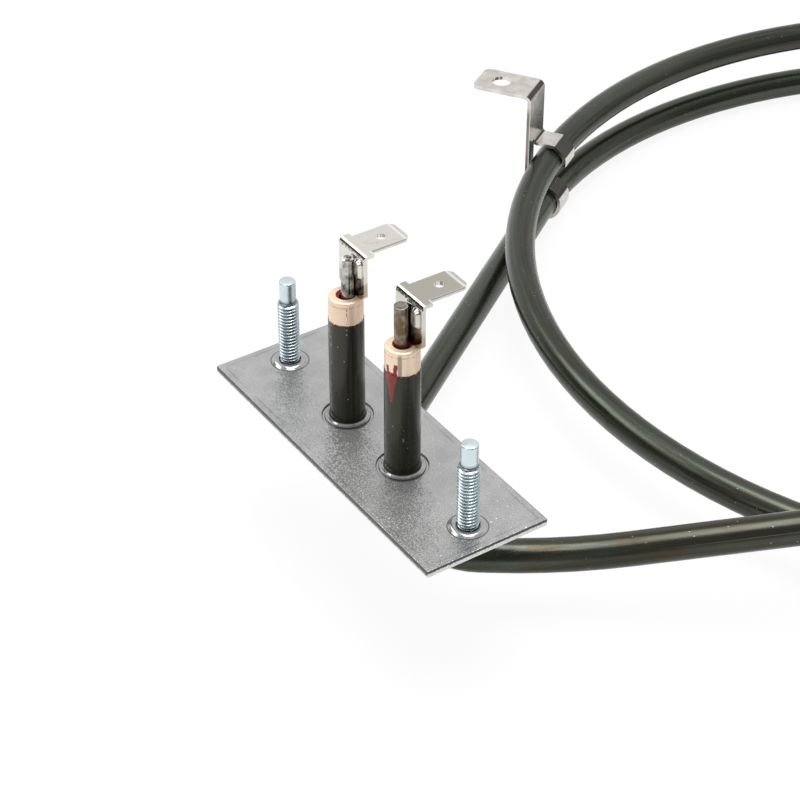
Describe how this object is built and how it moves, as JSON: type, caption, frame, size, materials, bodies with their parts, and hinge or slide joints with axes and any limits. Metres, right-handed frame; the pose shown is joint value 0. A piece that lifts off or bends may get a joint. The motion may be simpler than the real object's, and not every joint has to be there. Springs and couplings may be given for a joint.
{
  "type": "tubular heating element",
  "caption": "Round tubular heating element wound in stacked turns, with straight legs through a small mounting plate, threaded studs, push-on terminal tabs and folded support brackets.",
  "frame": {"origin": "centre of the mounting plate's outer face, midway between the two studs", "axes": "+X along the plate and the row of studs, +Y from the plate to the ring, +Z the way the studs and the terminals stand, away from the oven's inside"},
  "size_m": [0.2074, 0.2886, 0.068],
  "materials": {
    "plate_zinc": "dull",
    "sheath_oxide": "satin",
    "stud_zinc": "bright",
    "pin_steel": "tarnished",
    "seal_silicone": "matte",
    "oxide": "matte",
    "coil_wire": "satin",
    "tab_nickel": "bright",
    "bracket_stainless": "bright"
  },
  "bodies": {
    "root": {"mounting_plate": "plate_zinc", "sheath_tube": "sheath_oxide", "stud_left": "stud_zinc", "stud_right": "stud_zinc", "terminal_pin_left": "pin_steel", "terminal_pin_right": "pin_steel", "end_seal_left": "seal_silicone", "end_seal_right": "seal_silicone", "oxide_fill_left": "oxide", "oxide_fill_right": "oxide", "coil_end_left": "coil_wire", "coil_end_right": "coil_wire", "terminal_tab_left": "tab_nickel", "terminal_tab_right": "tab_nickel", "bracket_left": "bracket_stainless", "bracket_right": "bracket_stainless", "bracket_far": "bracket_stainless"}
  },
  "joints": []
}
